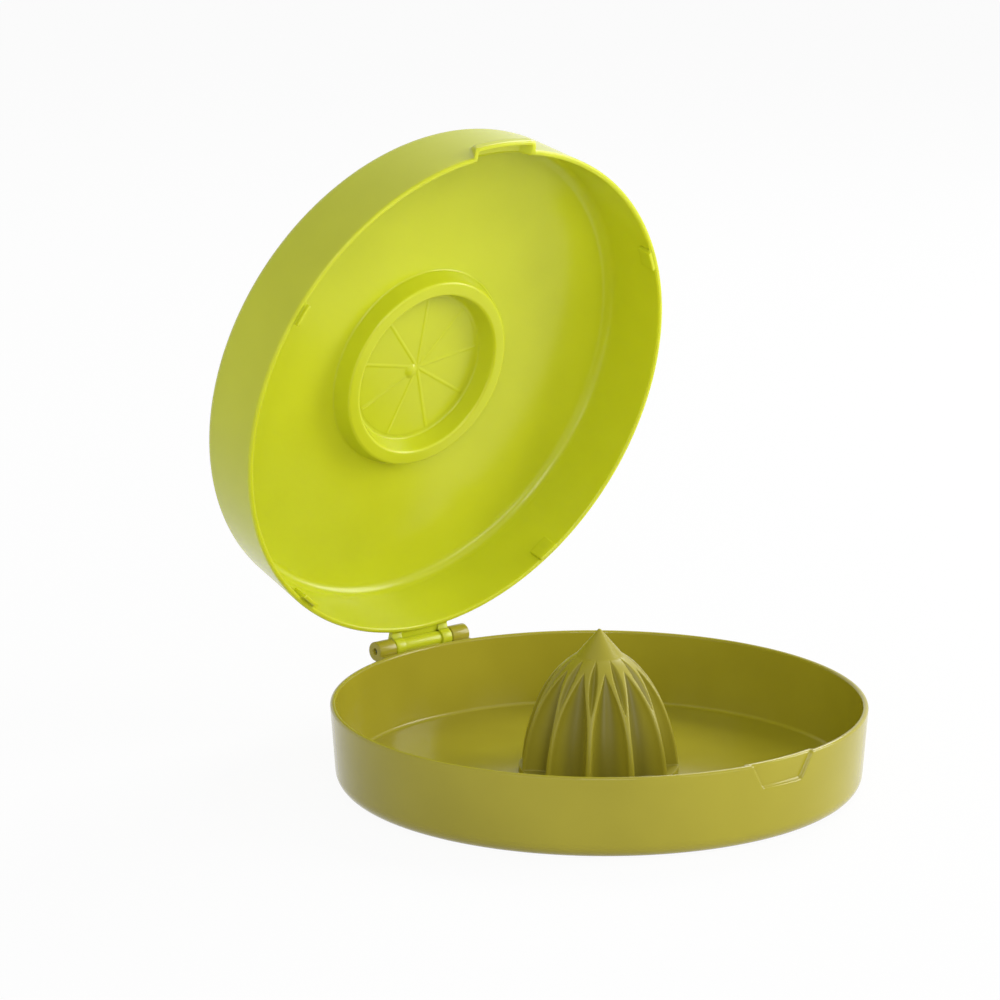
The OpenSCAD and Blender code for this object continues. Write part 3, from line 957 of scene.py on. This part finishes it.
def even_world(stage):
    """White world that lights evenly from all round at the fill's strength."""
    world = bpy.data.worlds.new("studio")
    world.use_nodes = True
    nodes = world.node_tree.nodes
    values = {"Value": background_rays(nodes), "To Min": stage.fill, "To Max": 1}
    strength = new_node(nodes, "ShaderNodeMapRange", values).outputs["Result"]
    set_inputs(nodes["Background"], {"Color": (1, 1, 1, 1), "Strength": strength})
    return world


def softbox(name, place, width, height, power):
    """Rectangular area lamp at a place, aimed at the target that all lamps share."""
    lamp = bpy.data.lights.new(name, "AREA")
    lamp.shape = "RECTANGLE"
    lamp.size = width
    lamp.size_y = height
    lamp.energy = power
    holder = new_object(name, lamp)
    holder.location = place
    facing = Vector(SOFTBOX_TARGET) - Vector(place)
    holder.rotation_euler = facing.to_track_quat("-Z", "Y").to_euler()


def photo_camera(stage, shells):
    """Camera that puts the middle of the tray's rim on its pixel of the photograph.

    The view direction to that point is set by azimuth, elevation and roll, and the camera is then
    turned by the angle between the lens's axis and the ray through the pixel.
    """
    tilt = Matrix.Rotation(math.pi / 2 - stage.elevation, 3, "X")
    facing = Matrix.Rotation(stage.azimuth, 3, "Z") @ tilt
    back = facing @ Vector((0, 0, 1))
    view = facing @ Matrix.Rotation(stage.roll, 3, "Z")
    column = (stage.aim_x - PHOTO_SIZE / 2) / stage.focal_pixels
    row = (stage.aim_y - PHOTO_SIZE / 2) / stage.focal_pixels
    ray = Vector((column, -row, -1)).normalized()
    aside = Vector((0, 0, -1)).rotation_difference(ray).to_matrix()
    lens = bpy.data.cameras.new("photo_camera")
    lens.sensor_width = SENSOR_WIDTH
    lens.lens = stage.focal_pixels / PHOTO_SIZE * SENSOR_WIDTH
    lens.clip_end = 50
    camera = new_object("photo_camera", lens)
    turned_by = view @ aside.inverted()
    place = Vector((0, 0, shells.tray_height)) + back * stage.distance
    camera.matrix_world = Matrix.Translation(place) @ turned_by.to_4x4()
    return camera


class JUICER_OT_tray(Operator):
    """Builds the juice tray with its finger recess, floor and two hinge knuckles"""

    bl_idname = "juicer.tray"
    bl_label = "Juice Tray"

    def execute(self, context):
        scene = context.scene
        finish = plastic("tray", scene.juicer_colours)
        shell = tray_shell(scene.juicer_shells, scene.juicer_lip)
        add_piece("juice_tray_shell", [shell], finish, "base", ["juice_tray"])
        knuckles = tray_knuckle(-1, scene.juicer_shells, scene.juicer_hinge)
        knuckles += tray_knuckle(1, scene.juicer_shells, scene.juicer_hinge)
        add_piece("tray_knuckles", knuckles, finish, "base")
        return {"FINISHED"}


class JUICER_OT_reamer(Operator):
    """Builds the fluted reamer with its plain point"""

    bl_idname = "juicer.reamer"
    bl_label = "Reamer"

    def execute(self, context):
        scene = context.scene
        finish = plastic("reamer", scene.juicer_colours)
        solid, cavity = reamer_cone(scene.juicer_shells, scene.juicer_reamer)
        add_piece("reamer_cone", [solid], finish, "base", ["reamer"], cavity)
        return {"FINISHED"}


class JUICER_OT_lid(Operator):
    """Builds the rimmer lid: shell with finger lip and raised ring, and the citrus slice"""

    bl_idname = "juicer.lid"
    bl_label = "Rimmer Lid"

    def execute(self, context):
        scene = context.scene
        shells = scene.juicer_shells
        finish = plastic("lid", scene.juicer_colours)
        shell = on_open_lid(lid_shell(shells, scene.juicer_lip, scene.juicer_ring), shells)
        add_piece("rimmer_lid_shell", [shell], finish, "lid", ["rimmer_lid"])
        slice_lens = on_open_lid(citrus_slice(shells, scene.juicer_ring), shells)
        add_piece("citrus_slice", [slice_lens], finish, "lid")
        return {"FINISHED"}


class JUICER_OT_lid_fittings(Operator):
    """Builds the lid's hinge and its four locating tabs"""

    bl_idname = "juicer.lid_fittings"
    bl_label = "Lid Hinge and Tabs"

    def execute(self, context):
        scene = context.scene
        shells = scene.juicer_shells
        tabs = scene.juicer_tabs
        finish = plastic("lid", scene.juicer_colours)
        hinge = [on_open_lid(solid, shells) for solid in lid_hinge(shells, scene.juicer_hinge)]
        add_piece("lid_hinge_cheeks", hinge, finish, "lid")
        angles = [FRONT - tabs.front_angle, FRONT + tabs.front_angle]
        angles += [-FRONT - tabs.back_angle, -FRONT + tabs.back_angle]
        solids = [on_open_lid(locating_tab(angle, shells, tabs), shells) for angle in angles]
        add_piece("locating_tabs", solids, finish, "lid")
        return {"FINISHED"}


class JUICER_OT_pin(Operator):
    """Gives the hinge pin its drawn steel"""

    bl_idname = "juicer.pin"
    bl_label = "Hinge Pin"

    def execute(self, context):
        pin = frame["nodes"]["hinge_pin"]
        finish = drawn_steel(context.scene.juicer_colours)
        if not pin.material_slots:
            raise RuntimeError("the hinge pin has no material slot to fill")
        for place in pin.material_slots:
            place.material = finish
        return {"FINISHED"}


class JUICER_OT_stage(Operator):
    """Sets the pale floor, the soft light and the camera"""

    bl_idname = "juicer.stage"
    bl_label = "Stage"

    def execute(self, context):
        scene = context.scene
        stage = scene.juicer_stage
        reach = stage.floor_reach
        mesh = bpy.data.meshes.new("studio_floor")
        corners = [(-reach, -reach, 0), (reach, -reach, 0), (reach, reach, 0), (-reach, reach, 0)]
        mesh.from_pydata(corners, [], [(0, 1, 2, 3)])
        mesh.materials.append(pale_floor(stage))
        floor = new_object("studio_floor", mesh)
        scene.world = even_world(stage)
        for name, (place, width, height) in SOFTBOXES.items():
            softbox("softbox_" + name, place, width, height, getattr(stage, name + "_power"))
        scene.camera = photo_camera(stage, scene.juicer_shells)
        scene.view_settings.view_transform = "Standard"
        return {"FINISHED"}


class JUICER_PT_panel(Panel):
    """Buttons and sizes of the juicer"""

    bl_idname = "JUICER_PT_panel"
    bl_label = "Citrus Juicer"
    bl_space_type = "VIEW_3D"
    bl_region_type = "UI"
    bl_category = "Juicer"

    def draw(self, context):
        for operator in OPERATORS:
            self.layout.operator(operator.bl_idname)
        for name, group in SETTINGS.items():
            box = self.layout.box()
            box.label(text=group.__doc__)
            for key in group.__annotations__:
                box.prop(getattr(context.scene, name), key)


SETTINGS = {
    "juicer_shells": ShellSizes,
    "juicer_lip": LipSizes,
    "juicer_hinge": HingeSizes,
    "juicer_reamer": ReamerSizes,
    "juicer_ring": RingSizes,
    "juicer_tabs": TabSizes,
    "juicer_colours": FinishColours,
    "juicer_stage": StageSettings,
}
OPERATORS = (
    JUICER_OT_tray,
    JUICER_OT_reamer,
    JUICER_OT_lid,
    JUICER_OT_lid_fittings,
    JUICER_OT_pin,
    JUICER_OT_stage,
)
CLASSES = (*SETTINGS.values(), *OPERATORS, JUICER_PT_panel)


def register():
    """Registers the classes and gives every scene the settings."""
    for item in CLASSES:
        bpy.utils.register_class(item)
    for name, group in SETTINGS.items():
        setattr(bpy.types.Scene, name, PointerProperty(type=group))


def unregister():
    """Takes the settings and then the classes away."""
    for name in SETTINGS:
        delattr(bpy.types.Scene, name)
    for item in reversed(CLASSES):
        bpy.utils.unregister_class(item)


def main():
    """Registers the classes and builds every piece and the stage."""
    register()
    bpy.ops.juicer.tray()
    bpy.ops.juicer.reamer()
    bpy.ops.juicer.lid()
    bpy.ops.juicer.lid_fittings()
    bpy.ops.juicer.pin()
    bpy.ops.juicer.stage()


if __name__ == "__main__":
    main()
